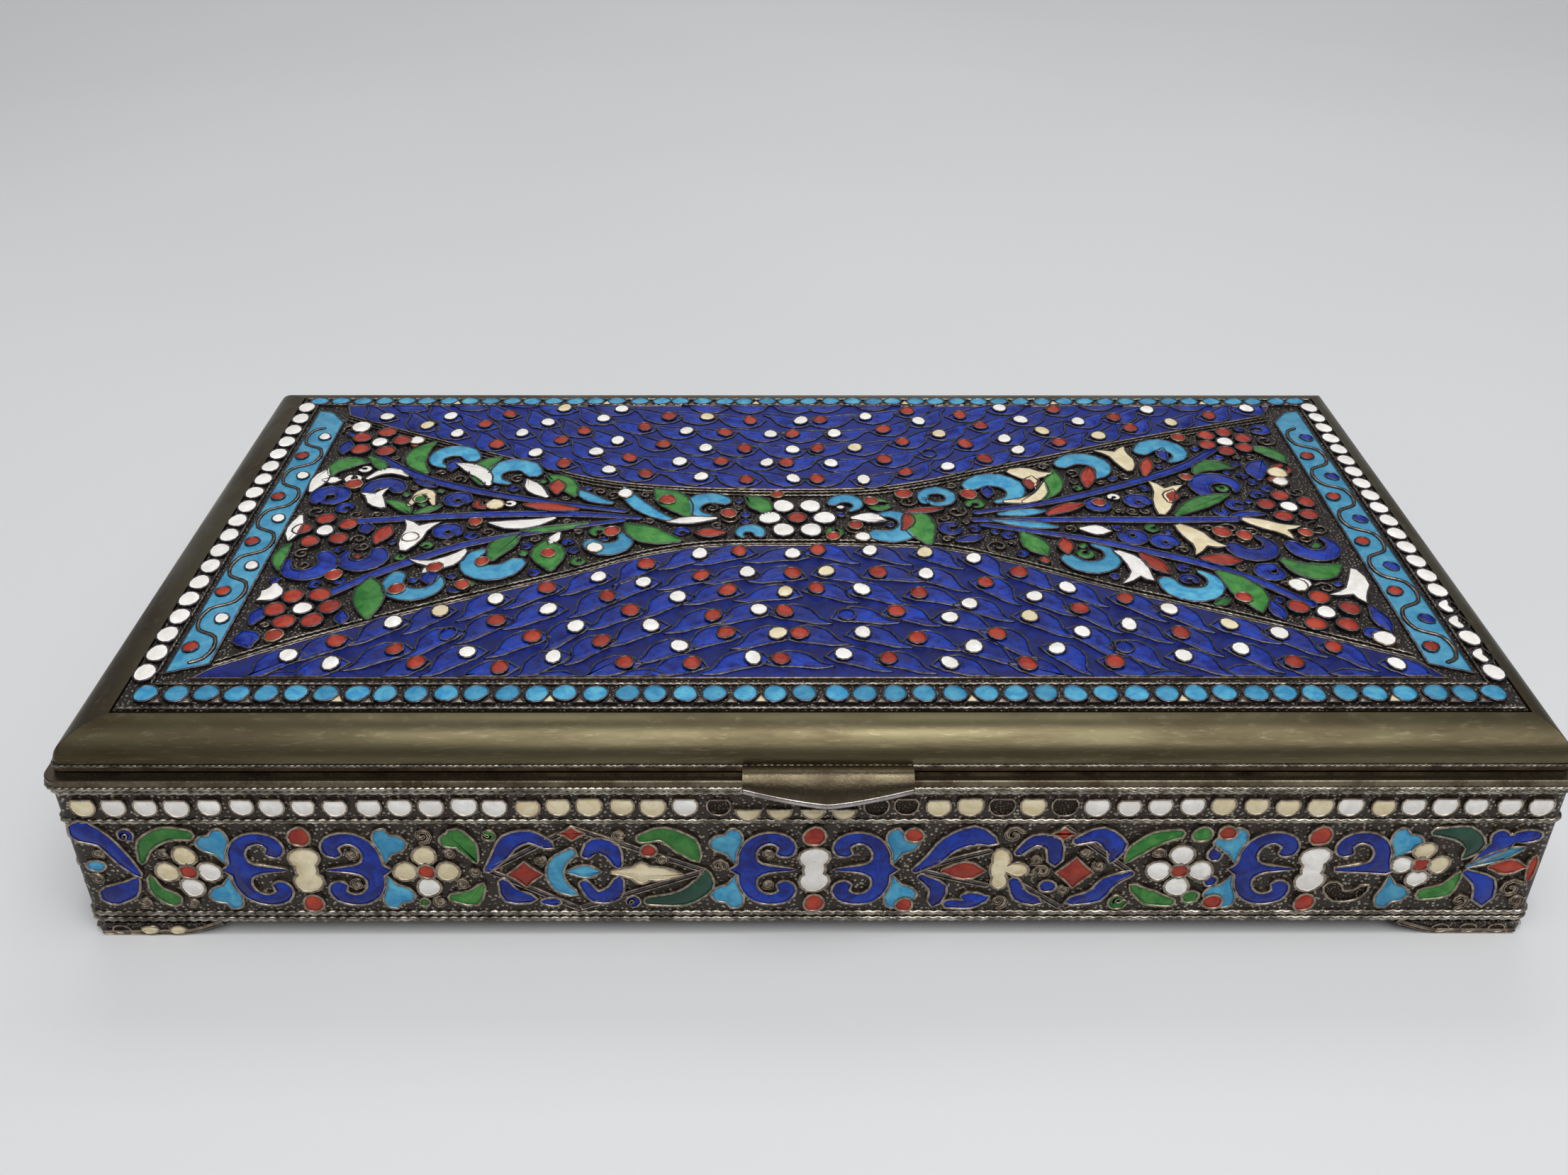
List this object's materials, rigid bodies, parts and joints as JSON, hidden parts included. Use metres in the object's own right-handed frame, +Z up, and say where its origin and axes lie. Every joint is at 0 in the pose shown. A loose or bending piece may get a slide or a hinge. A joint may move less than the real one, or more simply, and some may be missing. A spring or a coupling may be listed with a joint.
{
  "type": "enamel box",
  "caption": "Low rectangular table box with filigree enamel walls on bracket feet, and a hinged enamel lid with a convex metal border and a thumb-piece.",
  "frame": {"origin": "on the table under the centre of the body's rim, which is within 0.5 mm of the middle of the whole box with its hinge and thumb-piece", "axes": "+X along the box to the right, +Y from the thumb-piece to the hinge, +Z up; the front faces -Y"},
  "size_m": [0.165, 0.0957, 0.0283],
  "materials": {
    "body_metal": "tarnished silver-gilt sheet and twisted wire",
    "lid_metal": "rubbed silver-gilt, soft scratches, brown tarnish in the hollows",
    "hinge_metal": "dull brass",
    "enamel": "glossy enamel in wire cells: cobalt, turquoise, white, cream, coral red and green"
  },
  "bodies": {
    "box": {"box_body": "body_metal", "foot_front_left": "body_metal", "foot_front_right": "body_metal", "foot_back_left": "body_metal", "foot_back_right": "body_metal", "hinge_body_half": "hinge_metal", "hinge_pin": "hinge_metal"},
    "lid": {"lid_frame": "lid_metal", "lid_enamel_panel": "enamel", "thumb_piece": "lid_metal", "hinge_lid_half": "hinge_metal"}
  },
  "joints": [
    {"name": "lid_hinge", "type": "hinge", "parent": "box", "child": "lid", "pos_m": [0, 0.0469, 0.0233], "axis": [-1, 0, 0], "range_deg": [0, 100]}
  ]
}
